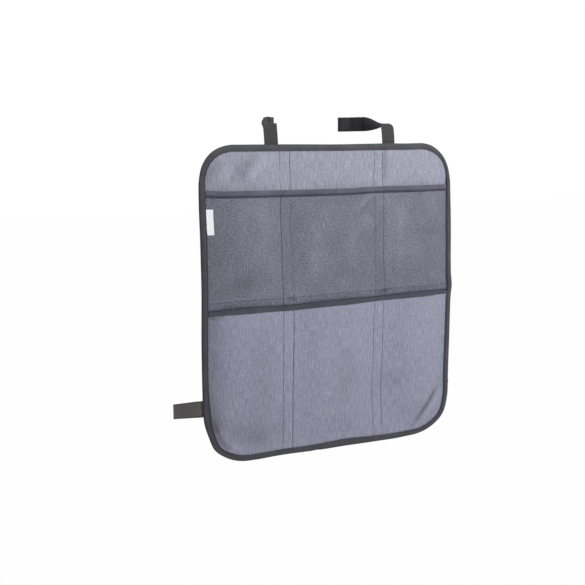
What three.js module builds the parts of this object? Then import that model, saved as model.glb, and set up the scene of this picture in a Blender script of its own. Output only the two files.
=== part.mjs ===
// Back-of-seat protector: a bound fabric mat with a mesh pocket row, a lower pocket row, two webbing
// loops for the headrest posts and one elastic band round the seat back.
// Millimetres, +Z up. The pockets face -Y and the seat is on the +Y side.
// The origin is the centre of the back panel's rear face.
import * as THREE from 'three';

// Mat outline
const matWidth = 490;
const matHeight = 530;
const topCornerRadius = 65;
const bottomCornerRadius = 80;

// How the mat lies on the rounded seat back: flat in the middle, set back towards its edges
const flatHalfWidth = 120;
const flatAbove = 100;
const flatBelow = 80;
const sideSetback = 3;
const topSetback = 5;
const bottomSetback = 5;

// Fabrics and tape
const panelThickness = 1.2;
const meshThickness = 0.8;
const meshHemThickness = 1.2;
const pocketThickness = 1;
const tapeWidth = 11;
const tapeThickness = 0.8;
const clearance = 0.3;

// Pocket rows, measured down from the mat's top edge
const meshMouthDrop = 74;
const lowerMouthDrop = 264;
const meshHemHeight = 10;
const meshFullness = 7;
const lowerFullness = 7;
const fullnessRise = 60;

// Twin seams that part each row into three pockets
const seamOffset = 81;
const seamSpacing = 18.5;

// Side label
const labelDrop = 103;
const labelHeight = 41;
const labelWidth = 15;
const labelThickness = 0.5;

// Webbing loops for the headrest posts
const strapOffset = 113;
const strapWidth = 25;
const strapThickness = 1.5;
const strapTail = 38;
const strapStand = 27;
const strapBendRadius = 9;
const strapTwistLength = 42;
const strapSewnLength = 22;
const strapRootLean = 4;
const strapStandLean = 12;
const strapTurn = 25;
const postLoopRadius = 8.3;
const postLoopOpening = 25;
const postLoopEaseRadius = 15;

// Elastic band
const bandWidth = 25.5;
const bandThickness = 1.2;
const bandRise = 100;
const bandTail = 30;
const bandEdgeRadius = 9;
const bandDepth = 122;
const bandCornerRadius = 38;
const bandDip = 28;

// Resolution
const middleColumns = 7;
const sideColumns = 9;
const flatRows = 5;
const edgeRows = 6;
const meshRows = 7;
const lowerRows = 12;
const labelCells = 4;
const cornerSteps = 12;
const edgeSteps = 12;
const tailSteps = 4;
const bandSteps = 6;
const largestBend = 8;

// Angles in degrees
const quarterTurn = 90;
const halfTurn = 180;

const halfWidth = matWidth / 2;
const halfHeight = matHeight / 2;
const seamOuter = seamOffset + seamSpacing;
const panelInset = tapeThickness + clearance;
const pocketStandOff = clearance + tapeThickness + clearance;
const meshMouth = halfHeight - meshMouthDrop;
const lowerMouth = halfHeight - lowerMouthDrop;
const meshBottom = lowerMouth + clearance;
const meshHemTop = meshBottom + meshHemHeight;
const pocketDepth = panelThickness + pocketStandOff;

const { clamp, degToRad, lerp, smoothstep } = THREE.MathUtils;
const up = new THREE.Vector3(0, 0, 1);
const ramp = (value, from, to) => clamp((value - from) / (to - from), 0, 1);

// Evenly spaced values from one end to the other, both included
function spread(from, to, count) {
  return Array.from({ length: count + 1 }, (_, i) => from + ((to - from) * i) / count);
}

// Y of the back panel's rear face
function rearFace(x, z) {
  const side = ramp(Math.abs(x), flatHalfWidth, halfWidth);
  const above = ramp(z, flatAbove, halfHeight);
  const below = ramp(-z, flatBelow, halfHeight);
  return sideSetback * side ** 2 + topSetback * above ** 2 + bottomSetback * below ** 2;
}

// A point of the mat, at a depth in front of the rear face
function matPoint(x, z, depth) {
  return new THREE.Vector3(x, rearFace(x, z) - depth, z);
}

// Height of the outline above or below x, for an edge that is set in from it
function topEdge(x, inset) {
  const past = Math.max(Math.abs(x) - (halfWidth - topCornerRadius), 0);
  const reach = Math.sqrt(Math.max((topCornerRadius - inset) ** 2 - past ** 2, 0));
  return halfHeight - topCornerRadius + reach;
}

function bottomEdge(x, inset) {
  const past = Math.max(Math.abs(x) - (halfWidth - bottomCornerRadius), 0);
  const reach = Math.sqrt(Math.max((bottomCornerRadius - inset) ** 2 - past ** 2, 0));
  return bottomCornerRadius - halfHeight - reach;
}

// Distance of a point inside the outline
function insideDistance(x, z) {
  const radius = z > 0 ? topCornerRadius : bottomCornerRadius;
  const acrossCorner = Math.abs(x) - (halfWidth - radius);
  const alongCorner = Math.abs(z) - (halfHeight - radius);
  const round = Math.hypot(Math.max(acrossCorner, 0), Math.max(alongCorner, 0));
  return radius - round - Math.min(Math.max(acrossCorner, alongCorner), 0);
}

// Half the mat's width at a height
function halfWidthAt(z) {
  const radius = z > 0 ? topCornerRadius : bottomCornerRadius;
  const past = Math.max(Math.abs(z) - (halfHeight - radius), 0);
  return halfWidth - radius + Math.sqrt(Math.max(radius ** 2 - past ** 2, 0));
}

// How far a pocket stands out, from nothing at the seams and the edge binding to its fullness
function pillow(x, z, fullness) {
  const fromSeam = Math.max(seamOffset - Math.abs(x), Math.abs(x) - seamOuter, 0);
  const fromEdge = Math.max(insideDistance(x, z) - tapeWidth, 0);
  return fullness * smoothstep(fromSeam, 0, fullnessRise) * smoothstep(fromEdge, 0, fullnessRise);
}

function meshPillow(x, z) {
  return pillow(x, z, meshFullness) * smoothstep(z, meshHemTop, meshHemTop + fullnessRise);
}

function lowerPillow(x, z) {
  return pillow(x, z, lowerFullness);
}

// A section of a wall: one side's points, then the other side's back again
const wall = (front, rear) => [...front, ...[...rear].reverse()];

// The skin over a row of like sections. A ring has no ends, and an open row is capped.
function loft(sections, ring = false) {
  const count = sections[0].length;
  const indices = [];
  const spans = ring ? sections.length : sections.length - 1;
  for (let s = 0; s < spans; s += 1) {
    const here = s * count;
    const next = ((s + 1) % sections.length) * count;
    for (let k = 0; k < count; k += 1) {
      const after = (k + 1) % count;
      // Front and rear take the same diagonal, so a twisted wall keeps its thickness
      if (k < count / 2) {
        indices.push(here + k, next + k, here + after, here + after, next + k, next + after);
      } else {
        indices.push(here + k, next + k, next + after, here + k, next + after, here + after);
      }
    }
  }
  const last = (sections.length - 1) * count;
  for (let k = 0; !ring && k < count / 2 - 1; k += 1) {
    const rear = count - 1 - k;
    indices.push(k, k + 1, rear, k + 1, rear - 1, rear);
    indices.push(last + k, last + rear, last + k + 1);
    indices.push(last + k + 1, last + rear, last + rear - 1);
  }
  const geometry = new THREE.BufferGeometry();
  const points = sections.flat().flatMap((point) => point.toArray());
  geometry.setAttribute('position', new THREE.Float32BufferAttribute(points, 3));
  geometry.setIndex(indices);
  geometry.computeVertexNormals();
  return geometry;
}

// Column places across a panel, closer together towards its sides
function columns(limit) {
  const middle = spread(-seamOffset, seamOffset, middleColumns);
  const reach = halfWidth - panelInset - seamOuter;
  const right = spread(0, Math.PI / 2, sideColumns).map((angle) => seamOuter + reach * Math.sin(angle));
  const left = right.map((x) => -x).reverse();
  const inside = [...left, ...middle, ...right].filter((x) => Math.abs(x) < limit - clearance);
  return [-limit, ...inside, limit];
}

// A sheet of cloth: its columns, its rows at each column, and its depth and thickness at each point
function sheet(places, rowsAt, depthAt, thicknessAt) {
  const sections = places.map((x) => {
    const rows = rowsAt(x);
    const front = rows.map((z) => matPoint(x, z, depthAt(x, z) + thicknessAt(z)));
    const rear = rows.map((z) => matPoint(x, z, depthAt(x, z)));
    return wall(front, rear);
  });
  return loft(sections);
}

// Back panel

function backPanel() {
  const rowsAt = (x) => [
    ...spread(bottomEdge(x, panelInset), -flatBelow, edgeRows),
    ...spread(-flatBelow, flatAbove, flatRows).slice(1),
    ...spread(flatAbove, topEdge(x, panelInset), edgeRows).slice(1),
  ];
  return sheet(columns(halfWidth - panelInset), rowsAt, () => 0, () => panelThickness);
}

// Pockets

// Its hem lies on the back panel, and it comes forward above that to leave room for the mouth's tape
function meshPocket() {
  const top = meshMouth - panelInset;
  const hemDepth = panelThickness + clearance;
  const rowsAt = (x) => {
    const high = Math.min(top, topEdge(x, panelInset));
    return [meshBottom, meshHemTop - tapeThickness, ...spread(meshHemTop, high, meshRows)];
  };
  const thicknessAt = (z) => (z < meshHemTop ? meshHemThickness : meshThickness);
  const forward = (z) => (pocketDepth - hemDepth) * smoothstep(z, meshHemTop, meshHemTop + fullnessRise);
  const depthAt = (x, z) => hemDepth + forward(z) + meshPillow(x, z);
  return sheet(columns(halfWidth - panelInset), rowsAt, depthAt, thicknessAt);
}

function lowerPocket() {
  const rowsAt = (x) => spread(bottomEdge(x, panelInset), lowerMouth - panelInset, lowerRows);
  const depthAt = (x, z) => pocketDepth + lowerPillow(x, z);
  return sheet(columns(halfWidth - panelInset), rowsAt, depthAt, () => pocketThickness);
}

// Tape folded over a pocket's mouth, from one edge binding to the other
function mouthBinding(mouth, clothThickness, pillowAt) {
  const limit = halfWidthAt(mouth) - tapeWidth - clearance;
  const low = mouth - tapeWidth;
  const roof = mouth - tapeThickness;
  const inner = tapeThickness + clearance + clothThickness + clearance;
  const bevel = clearance / 2;
  const sections = columns(limit).map((x) => {
    const point = (z, depth) => matPoint(x, z, panelThickness + clearance + pillowAt(x, z) + depth);
    const outside = [
      point(low, inner + tapeThickness),
      point(roof, inner + tapeThickness),
      point(mouth, inner),
      point(mouth, tapeThickness),
      point(roof, 0),
      point(low, 0),
    ];
    const inside = [
      point(low, inner),
      point(roof - bevel, inner),
      point(roof, inner - bevel),
      point(roof, tapeThickness + bevel),
      point(roof - bevel, tapeThickness),
      point(low, tapeThickness),
    ];
    return wall(outside, inside);
  });
  return loft(sections);
}

// Edge binding

// Places along the outline with their outward direction, clockwise for a viewer of the pockets
function outlinePlaces() {
  const corners = [
    [-1, 1, topCornerRadius, halfTurn],
    [1, 1, topCornerRadius, quarterTurn],
    [1, -1, bottomCornerRadius, 0],
    [-1, -1, bottomCornerRadius, -quarterTurn],
  ].map(([sideways, upward, radius, start]) => {
    const centre = new THREE.Vector2(sideways * (halfWidth - radius), upward * (halfHeight - radius));
    return spread(start, start - quarterTurn, cornerSteps).map((angle) => {
      const out = new THREE.Vector2(Math.cos(degToRad(angle)), Math.sin(degToRad(angle)));
      return { place: centre.clone().addScaledVector(out, radius), out };
    });
  });
  return corners.flatMap((corner, i) => {
    const from = corner.at(-1);
    const to = corners[(i + 1) % corners.length][0];
    const straight = spread(0, 1, edgeSteps).slice(1, -1).map((share) => ({
      place: from.place.clone().lerp(to.place, share),
      out: from.out,
    }));
    return [...corner, ...straight];
  });
}

// Depth of the layers that the edge binding holds: the back panel alone above the mesh row
function layersDepth(z) {
  const pockets = pocketStandOff + Math.max(meshHemThickness, pocketThickness);
  return panelThickness + pockets * smoothstep(-z, -meshMouth - 2 * tapeWidth, -meshMouth - clearance);
}

function edgeBinding() {
  const sections = outlinePlaces().map(({ place, out }) => {
    const point = (inward, depthAt) => {
      const x = place.x - out.x * inward;
      const z = place.y - out.y * inward;
      return matPoint(x, z, depthAt(z));
    };
    const inFront = (beyond) => (z) => layersDepth(z) + clearance + beyond;
    const behind = (beyond) => () => -clearance - beyond;
    const bevel = clearance / 2;
    const outside = [
      point(tapeWidth, inFront(tapeThickness)),
      point(tapeThickness, inFront(tapeThickness)),
      point(0, inFront(0)),
      point(0, behind(0)),
      point(tapeThickness, behind(tapeThickness)),
      point(tapeWidth, behind(tapeThickness)),
    ];
    const inside = [
      point(tapeWidth, inFront(0)),
      point(tapeThickness + bevel, inFront(0)),
      point(tapeThickness, inFront(-bevel)),
      point(tapeThickness, behind(-bevel)),
      point(tapeThickness + bevel, behind(0)),
      point(tapeWidth, behind(0)),
    ];
    return wall(outside, inside);
  });
  return loft(sections, true);
}

// Side label

function sideLabel() {
  const edge = halfWidth - tapeWidth - clearance;
  const top = halfHeight - labelDrop;
  const rowsAt = () => spread(top - labelHeight, top, labelCells);
  const depthAt = (x, z) => pocketDepth + meshPillow(x, z) + meshThickness + clearance;
  return sheet(spread(-edge, labelWidth - edge, labelCells), rowsAt, depthAt, () => labelThickness);
}

// Straps

// A ribbon along a path of points, each with the direction across its width
function ribbon(path, width, thickness) {
  const sections = path.map(({ point, across }, i) => {
    const before = path[Math.max(i - 1, 0)].point;
    const after = path[Math.min(i + 1, path.length - 1)].point;
    const along = after.clone().sub(before).normalize();
    const side = across.clone().addScaledVector(along, -across.dot(along)).setLength(width / 2);
    const out = along.clone().cross(side).setLength(thickness / 2);
    const edges = (facing) => [-1, 1].map((sign) => point.clone().addScaledVector(side, sign).add(facing));
    return wall(edges(out), edges(out.clone().negate()));
  });
  return loft(sections);
}

// Y of the middle of a ribbon that lies on the edge binding's rear
function behindBinding(x, z, thickness) {
  return rearFace(x, z) + clearance + tapeThickness + clearance + thickness / 2;
}

// Moves along a strap: the length of each, and the lean from upright, turn inwards and twist at its end
function strapMoves() {
  const sewnGap = (strapThickness + clearance) / 2;
  const open = degToRad(postLoopOpening);
  const eased = sewnGap + postLoopEaseRadius * (1 - Math.cos(open));
  const flank = (postLoopRadius * Math.cos(open) - eased) / Math.sin(open);
  const ease = postLoopEaseRadius * open;
  const wrap = postLoopRadius * (Math.PI + 2 * open);
  const bend = strapBendRadius * degToRad(quarterTurn - strapStandLean);
  const out = strapTurn - postLoopOpening;
  const back = out + halfTurn + 2 * postLoopOpening;
  return [
    [strapStand, strapStandLean, 0, 0],
    [bend, quarterTurn, strapTurn, 0],
    [strapTwistLength, quarterTurn, strapTurn, quarterTurn],
    [strapSewnLength, quarterTurn, strapTurn, quarterTurn],
    [ease, quarterTurn, out, quarterTurn],
    [flank, quarterTurn, out, quarterTurn],
    [wrap, quarterTurn, back, quarterTurn],
    [flank, quarterTurn, back, quarterTurn],
    [ease, quarterTurn, strapTurn + halfTurn, quarterTurn],
    [strapSewnLength, quarterTurn, strapTurn + halfTurn, quarterTurn],
  ];
}

function strap(side) {
  const x = side * strapOffset;
  const path = spread(halfHeight - strapTail, halfHeight, tailSteps).map((z) => ({
    point: new THREE.Vector3(x, behindBinding(x, z, strapThickness), z),
    across: new THREE.Vector3(1, 0, 0),
  }));
  let from = [strapRootLean, 0, 0];
  for (const [length, ...to] of strapMoves()) {
    const change = Math.max(...to.map((angle, i) => Math.abs(angle - from[i])));
    const steps = Math.max(Math.ceil(change / largestBend), 1);
    const start = from;
    const angleAt = (i, share) => degToRad(lerp(start[i], to[i], share));
    for (let step = 0; step < steps; step += 1) {
      const middle = (step + 1 / 2) / steps;
      const lean = angleAt(0, middle);
      const turn = angleAt(1, middle);
      const level = new THREE.Vector3(-side * Math.sin(turn), Math.cos(turn), 0);
      const along = level.multiplyScalar(Math.sin(lean)).addScaledVector(up, Math.cos(lean));
      const point = path.at(-1).point.clone().addScaledVector(along, length / steps);
      const flat = new THREE.Vector3(Math.cos(turn), side * Math.sin(turn), 0);
      path.push({ point, across: flat.applyAxisAngle(along, angleAt(2, (step + 1) / steps)) });
    }
    from = to;
  }
  return ribbon(path, strapWidth, strapThickness);
}

// Elastic band round the seat back, sewn behind both side edges
function elasticBand() {
  const level = bandRise - halfHeight;
  const low = level - bandWidth / 2;
  const high = level + bandWidth / 2;
  const right = spread(halfWidth - bandTail, halfWidth, tailSteps).map((x) => ({
    point: new THREE.Vector3(x, behindBinding(x, level, bandThickness), level),
    across: new THREE.Vector3(0, rearFace(x, high) - rearFace(x, low), bandWidth).normalize(),
  }));
  const edge = right.at(-1).point;
  const turn = (centreX, centreY, radius, from, to) => {
    for (const angle of spread(from, to, bandSteps).slice(1).map(degToRad)) {
      const x = centreX + radius * Math.cos(angle);
      const y = centreY + radius * Math.sin(angle);
      right.push({ point: new THREE.Vector3(x, y, level), across: up });
    }
  };
  turn(edge.x, edge.y + bandEdgeRadius, bandEdgeRadius, -quarterTurn, 0);
  const outside = edge.x + bandEdgeRadius;
  for (const y of spread(edge.y + bandEdgeRadius, bandDepth - bandCornerRadius, bandSteps).slice(1)) {
    right.push({ point: new THREE.Vector3(outside, y, level), across: up });
  }
  turn(outside - bandCornerRadius, bandDepth - bandCornerRadius, bandCornerRadius, 0, quarterTurn);
  for (const x of spread(outside - bandCornerRadius, 0, bandSteps).slice(1)) {
    right.push({ point: new THREE.Vector3(x, bandDepth, level), across: up });
  }
  for (const { point } of right) {
    point.z -= bandDip * smoothstep(point.y, edge.y + bandEdgeRadius, bandDepth);
  }
  const left = right.slice(0, -1).map(({ point, across }) => ({
    point: point.clone().setX(-point.x),
    across,
  }));
  return ribbon([...right, ...left.reverse()], bandWidth, bandThickness);
}

// Assembly

const cloth = (color) => new THREE.MeshStandardMaterial({ color, roughness: 0.9, metalness: 0 });
const heatherCloth = 0x96959f;
const meshCloth = 0x6f6e78;
const tapeCloth = 0x4c4b55;
const webbing = 0x4a4a4e;
const elastic = 0x514c4b;
const labelCloth = 0xe9e8ea;

const protector = new THREE.Group();
protector.name = 'seat_back_protector';

function add(name, geometry, color) {
  const mesh = new THREE.Mesh(geometry, cloth(color));
  mesh.name = name;
  protector.add(mesh);
}

add('back_panel', backPanel(), heatherCloth);
add('edge_binding', edgeBinding(), tapeCloth);
add('mesh_pocket', meshPocket(), meshCloth);
add('mesh_pocket_binding', mouthBinding(meshMouth, meshThickness, meshPillow), tapeCloth);
add('lower_pocket', lowerPocket(), heatherCloth);
add('lower_pocket_binding', mouthBinding(lowerMouth, pocketThickness, lowerPillow), tapeCloth);
add('side_label', sideLabel(), labelCloth);
add('strap_left', strap(-1), webbing);
add('strap_right', strap(1), webbing);
add('elastic_band', elasticBand(), elastic);

export default protector;
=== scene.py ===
import math
import bpy
from mathutils import Matrix, Vector


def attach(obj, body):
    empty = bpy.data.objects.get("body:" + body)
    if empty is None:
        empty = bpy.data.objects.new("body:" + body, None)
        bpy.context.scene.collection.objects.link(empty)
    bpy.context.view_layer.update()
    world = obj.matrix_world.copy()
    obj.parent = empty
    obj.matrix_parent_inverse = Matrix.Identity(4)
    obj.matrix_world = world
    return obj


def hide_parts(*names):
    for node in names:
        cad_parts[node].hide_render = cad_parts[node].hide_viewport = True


# Bound heather cloth mat for the back of a car seat. Metres, +Z up, the pockets face -Y.
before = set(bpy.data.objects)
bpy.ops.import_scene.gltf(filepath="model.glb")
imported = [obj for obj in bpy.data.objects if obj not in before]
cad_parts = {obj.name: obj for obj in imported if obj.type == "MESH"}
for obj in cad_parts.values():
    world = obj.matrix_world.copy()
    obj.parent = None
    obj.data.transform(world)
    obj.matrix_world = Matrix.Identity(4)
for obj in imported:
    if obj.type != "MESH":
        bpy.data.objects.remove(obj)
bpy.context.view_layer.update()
print("frame loaded:", len(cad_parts), "solids")


# Shader tools

class Wire:  # a socket that takes part in sums
    def __init__(self, paint, socket):
        self.paint = paint
        self.socket = socket

    def sum(self, operation, first, second):
        return self.paint.node("ShaderNodeMath", {"operation": operation}, {0: first, 1: second})

    def __add__(self, other):
        return self.sum("ADD", self, other)

    def __radd__(self, other):
        return self.sum("ADD", other, self)

    def __sub__(self, other):
        return self.sum("SUBTRACT", self, other)

    def __rsub__(self, other):
        return self.sum("SUBTRACT", other, self)

    def __mul__(self, other):
        return self.sum("MULTIPLY", self, other)

    def __rmul__(self, other):
        return self.sum("MULTIPLY", other, self)

    def __truediv__(self, other):
        return self.sum("DIVIDE", self, other)


class Paint:  # the nodes of one material, or of the world
    def __init__(self, name, owners=bpy.data.materials):
        self.owner = owners.new(name)
        self.owner.use_nodes = True
        self.tree = self.owner.node_tree
        self.tree.nodes.clear()

    def node(self, kind, settings, sockets, out=0):
        made = self.tree.nodes.new(kind)
        for key, value in settings.items():
            setattr(made, key, value)
        for key, value in sockets.items():
            if isinstance(value, Wire):
                self.tree.links.new(value.socket, made.inputs[key])
            else:
                made.inputs[key].default_value = value
        return Wire(self, made.outputs[out]) if made.outputs else None

    def axis(self, vector, letter):
        return self.node("ShaderNodeSeparateXYZ", {}, {0: vector}, letter)

    def absolute(self, value):
        return self.node("ShaderNodeMath", {"operation": "ABSOLUTE"}, {0: value})

    def spot(self):  # the place on the mat, in metres
        return self.node("ShaderNodeTexCoord", {}, {}, "Object")

    def threads(self):  # places across and along the cloth, in metres
        flat = self.node("ShaderNodeUVMap", {"uv_map": "threads"}, {})
        return self.axis(flat, "X"), self.axis(flat, "Y")

    def noise(self, across, along, wide, long, detail=2.0, seed=0.0):
        spot = self.node("ShaderNodeCombineXYZ", {}, {0: across / wide + seed, 1: along / long + seed})
        settings = {"noise_dimensions": "2D"}
        return self.node("ShaderNodeTexNoise", settings, {"Vector": spot, "Scale": 1.0, "Detail": detail})

    def wave(self, place, pitch):  # from -1 to 1
        settings = {"operation": "SINE"}
        return self.node("ShaderNodeMath", settings, {0: place * (2 * math.pi / pitch)})

    def step(self, value, low, high):  # 0 below low, 1 above high
        settings = {"interpolation_type": "SMOOTHSTEP"}
        return self.node("ShaderNodeMapRange", settings, {"Value": value, "From Min": low, "From Max": high})

    def mix(self, share, first, second, blend="MIX"):
        settings = {"data_type": "RGBA", "blend_type": blend, "clamp_factor": True}
        return self.node("ShaderNodeMix", settings, {0: share, 6: first, 7: second}, 2)

    def bump(self, height, distance, strength=1.0):
        return self.node("ShaderNodeBump", {}, {"Height": height, "Distance": distance, "Strength": strength})

    def withPaintedLight(self, color):  # painted light and shade on a sheet's front: lighter and darker where its folds turn from the light, darker in the pockets
        settings = {"attribute_type": "GEOMETRY", "attribute_name": "paintedLight"}
        paintedLight = self.node("ShaderNodeAttribute", settings, {}, "Fac")
        facing = self.axis(self.node("ShaderNodeNewGeometry", {}, {}, "Normal"), "Y")
        front = 1 - self.step(facing, -0.3, 0.3)
        return self.node("ShaderNodeHueSaturation", {}, {"Value": 1 + paintedLight * front, "Color": color})

    def finish(self, sockets):
        shader = self.node("ShaderNodeBsdfPrincipled", {}, sockets)
        self.node("ShaderNodeOutputMaterial", {}, {"Surface": shader})
        return self.owner


def tone(red, green, blue):
    return (red, green, blue, 1.0)


# The mat's shape, as the solids have it

mat = {
    "halfWidth": 0.245,
    "halfHeight": 0.265,
    "topRadius": 0.065,
    "bottomRadius": 0.080,
    "flatHalfWidth": 0.120,
    "flatAbove": 0.100,
    "flatBelow": 0.080,
    "sideSetback": 0.003,
    "topSetback": 0.005,
    "bottomSetback": 0.005,
    "panelThick": 0.0012,
    "gap": 0.0003,
    "inset": 0.0011,
    "seamInner": 0.081,
    "seamOuter": 0.0995,
    "meshMouth": 0.191,
    "lowerMouth": 0.001,
    "hemTop": 0.0113,
    "full": 0.007,
    "fullRise": 0.060,
    "netBehind": 0.0015,  # the net's rear at its hem, in front of the mat's rear face
    "netForward": 0.0011,  # how much further forward it lies above the hem
    "lowerBehind": 0.0026,
}
sewnLines = (-mat["seamOuter"], -mat["seamInner"], mat["seamInner"], mat["seamOuter"])


# The cloths

heather = {
    "darkYarn": tone(0.196, 0.197, 0.255),
    "lightYarn": tone(0.405, 0.412, 0.500),
    "warm": tone(0.310, 0.296, 0.365),
    "cool": tone(0.278, 0.306, 0.368),
    "streakWide": 0.0022,
    "streakLong": 0.017,
    "fleckWide": 0.0011,
    "fleckLong": 0.0040,
    "weavePitch": 0.00085,
    "pocketTint": tone(1.0, 0.998, 1.06),  # the pockets' cloth is a shade bluer
}

# How deep each sewn line sits, painted as shade in its crease, from the left one to the right one: above,
# beside and below the net
creases = {"top": (0.0, 0.5, 0.25, 0.25), "net": (0.8, 0.0, 0.0, 0.4), "low": (0.3, 0.8, 0.3, 0.35)}
# The colour of painted shade, in the sewn lines' creases and beside the side bindings
paintedShade = tone(0.045, 0.044, 0.055)


def heatherYarns(paint, across, along):
    streak = paint.noise(across, along, heather["streakWide"], heather["streakLong"], 3.0)
    fleck = paint.noise(across, along, heather["fleckWide"], heather["fleckLong"], 2.0, 31.0)
    cloud = paint.noise(across, along, 0.075, 0.11, 2.0, 7.0)
    share = (streak - 0.5) * 1.7 + (fleck - 0.5) * 1.7 + 0.5
    yarns = paint.mix(share, heather["darkYarn"], heather["lightYarn"])
    tint = paint.mix(paint.step(cloud, 0.35, 0.65), heather["warm"], heather["cool"])
    return paint.mix(0.3, yarns, tint)


# Painted shade in the creases of the sewn lines
def paintedCreaseShade(paint, across, depths):  # 0 away from the sewn lines
    lines = 0.0
    for seam, depth in zip(sewnLines, depths):
        lines = (1 - paint.step(paint.absolute(across - seam), 0.0002, 0.0012)) * depth + lines
    return lines


def paintedEdgeShade(paint, across, deep):  # painted shade beside the side bindings, where the cloth turns from the light; 0 in the middle
    left = 1 - paint.step(across, -mat["halfWidth"] + 0.008, -mat["halfWidth"] + 0.052)
    right = paint.step(across, mat["halfWidth"] - 0.026, mat["halfWidth"] - 0.010)
    return left * deep + right * 0.08


def heatherCloth():
    paint = Paint("heatherCloth")
    across, along = paint.threads()
    slub = paint.noise(across, along, 0.0011, 0.006, seed=12.0)
    weave = paint.wave(across, heather["weavePitch"]) * paint.wave(along, heather["weavePitch"])
    upper = paint.step(along, 0.10, 0.12)  # the strip above the pockets
    yarns = paint.mix(1 - upper, heatherYarns(paint, across, along), heather["pocketTint"], "MULTIPLY")
    # painted shade beside the side bindings, stronger at the left and lower down
    shaded = paint.mix(paintedEdgeShade(paint, across, 0.42 - upper * 0.2), yarns, paintedShade)
    # painted shade along the sewn lines
    topLines = paintedCreaseShade(paint, across, creases["top"]) * upper
    lowLines = paintedCreaseShade(paint, across, creases["low"]) * (1 - upper)
    return paint.finish({
        "Base Color": paint.withPaintedLight(paint.mix(topLines + lowLines, shaded, paintedShade)),
        "Roughness": 0.78 + slub * 0.2,
        "Sheen Weight": 0.15,
        "Sheen Roughness": 0.5,
        "Normal": paint.bump(weave * 0.35 + slub, 0.00022, 0.7),
    })


net = {
    "thread": tone(0.054, 0.053, 0.064),
    "speck": tone(0.270, 0.272, 0.330),
    # the panel seen through the net's holes, darkened as painted shade
    "shadeBehindNet": tone(0.76, 0.76, 0.79),
    "pitch": 0.0017,
    "hemShade": tone(0.86, 0.84, 0.90),
    # painted shade on the hem's lowest few millimetres, over the lower mouth's slit
    "paintedHemShade": tone(0.60, 0.58, 0.64),
}


def meshCloth():
    paint = Paint("meshCloth")
    across, along = paint.threads()
    cells = paint.wave(across, net["pitch"]) * paint.wave(along, net["pitch"] * 1.15)
    grain = paint.noise(across, along, 0.0014, 0.0017, 1.0, 19.0)
    cloud = paint.noise(across, along, 0.05, 0.07, 3.0, 23.0)
    hole = paint.step(cells * 0.6 + (grain - 0.5) * 3.6 + (cloud - 0.5) * 0.7, -0.80, 0.60)
    # the heather behind the holes, in painted shade
    behind = paint.mix(1.0, heatherYarns(paint, across, along), net["shadeBehindNet"], "MULTIPLY")
    speck = paint.step(paint.noise(across, along, 0.0016, 0.0019, 0.0, 41.0), 0.56, 0.70)
    single = paint.mix(speck * 0.35, paint.mix(hole, net["thread"], behind), net["speck"])
    hem = 1 - paint.step(along, mat["hemTop"] - 0.0005, mat["hemTop"] + 0.0004)
    double = paint.mix(hem, tone(1, 1, 1), net["hemShade"])
    # painted shade on the hem's bottom, over the lower mouth's slit
    folded = paint.mix(1 - paint.step(along, 0.0020, 0.0052), double, net["paintedHemShade"])
    hung = paint.mix(1.0, single, folded, "MULTIPLY")
    # painted shade beside the side bindings
    shaded = paint.mix(paintedEdgeShade(paint, across, 0.26), hung, paintedShade)
    # painted shade along the sewn lines
    seamed = paint.mix(paintedCreaseShade(paint, across, creases["net"]), shaded, paintedShade)
    return paint.finish({
        "Base Color": paint.withPaintedLight(seamed),
        "Roughness": 0.62 + hole * 0.25,
        "Sheen Weight": 0.1,
        "Sheen Roughness": 0.5,
        "Normal": paint.bump(1 - hole, 0.00035, 0.6),
    })


tape = {
    "edge": (tone(0.050, 0.050, 0.060), tone(0.078, 0.079, 0.090)),
    "mouth": (tone(0.077, 0.078, 0.108), tone(0.119, 0.123, 0.160)),
    # the lower mouth's tape: the mouth tape's tones darkened as painted shade under the hem
    "lower": (tone(0.051, 0.051, 0.071), tone(0.077, 0.079, 0.104)),
    # the colour of painted shade on the tapes
    "inner": tone(0.022, 0.019, 0.036),
    "ribPitch": 0.0011,
    "wide": 0.011,
}


def bindingTape(kind):
    paint = Paint(kind + "Tape")
    shade, worn = tape[kind]
    across, along = paint.threads()
    sideways, upwards = paint.axis(paint.spot(), "X"), paint.axis(paint.spot(), "Z")
    rib = paint.wave(along, tape["ribPitch"])
    fuzz = paint.noise(across, along, 0.0006, 0.0006)
    patch = paint.noise(across, along, 0.02, 0.03, seed=5.0)
    body = paint.mix(paint.step(patch, 0.35, 0.7) * 0.5, shade, worn)
    if kind == "lower":  # painted shade of the hem that hangs over it
        dark = (1 - paint.step(across, 0.0015, 0.0075)) * 0.45
    else:  # painted shade along the stitches, where the tape is pulled down; less along the mat's top and foot
        ends = paint.step(paint.absolute(upwards), 0.225, 0.256)
        dark = paint.step(across, 0.0066, 0.0088) * (1 - ends * 0.75) * 0.85
    if kind == "edge":  # painted shade where the left side and the foot turn from the light, most of all where they meet
        corner = (1 - paint.step(sideways, -0.200, -0.180)) * (1 - paint.step(upwards, -0.180, -0.120))
        dark = dark + corner * paint.step(across, 0.0040, 0.0075) * 0.8
        left = 1 - paint.step(sideways, -0.246, -0.222)
        foot = 1 - paint.step(upwards, -0.258, -0.244)
        body = paint.mix(left * 0.3 + foot * 0.2, body, tape["inner"])
    shaded = paint.mix(dark, body, tape["inner"])
    return paint.finish({
        "Base Color": paint.mix(paint.step(fuzz, 0.45, 0.75) * 0.25, shaded, worn),
        "Roughness": 0.68 + fuzz * 0.2,
        "Sheen Weight": 0.2,
        "Sheen Roughness": 0.4,
        "Normal": paint.bump(rib * 0.5 + fuzz, 0.00018, 0.8),
    })


webbing = {
    "rib": tone(0.041, 0.039, 0.045),
    # painted shade in the grooves between the ribs
    "groove": tone(0.017, 0.016, 0.020),
    "ribPitch": 0.0024,
}


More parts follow.
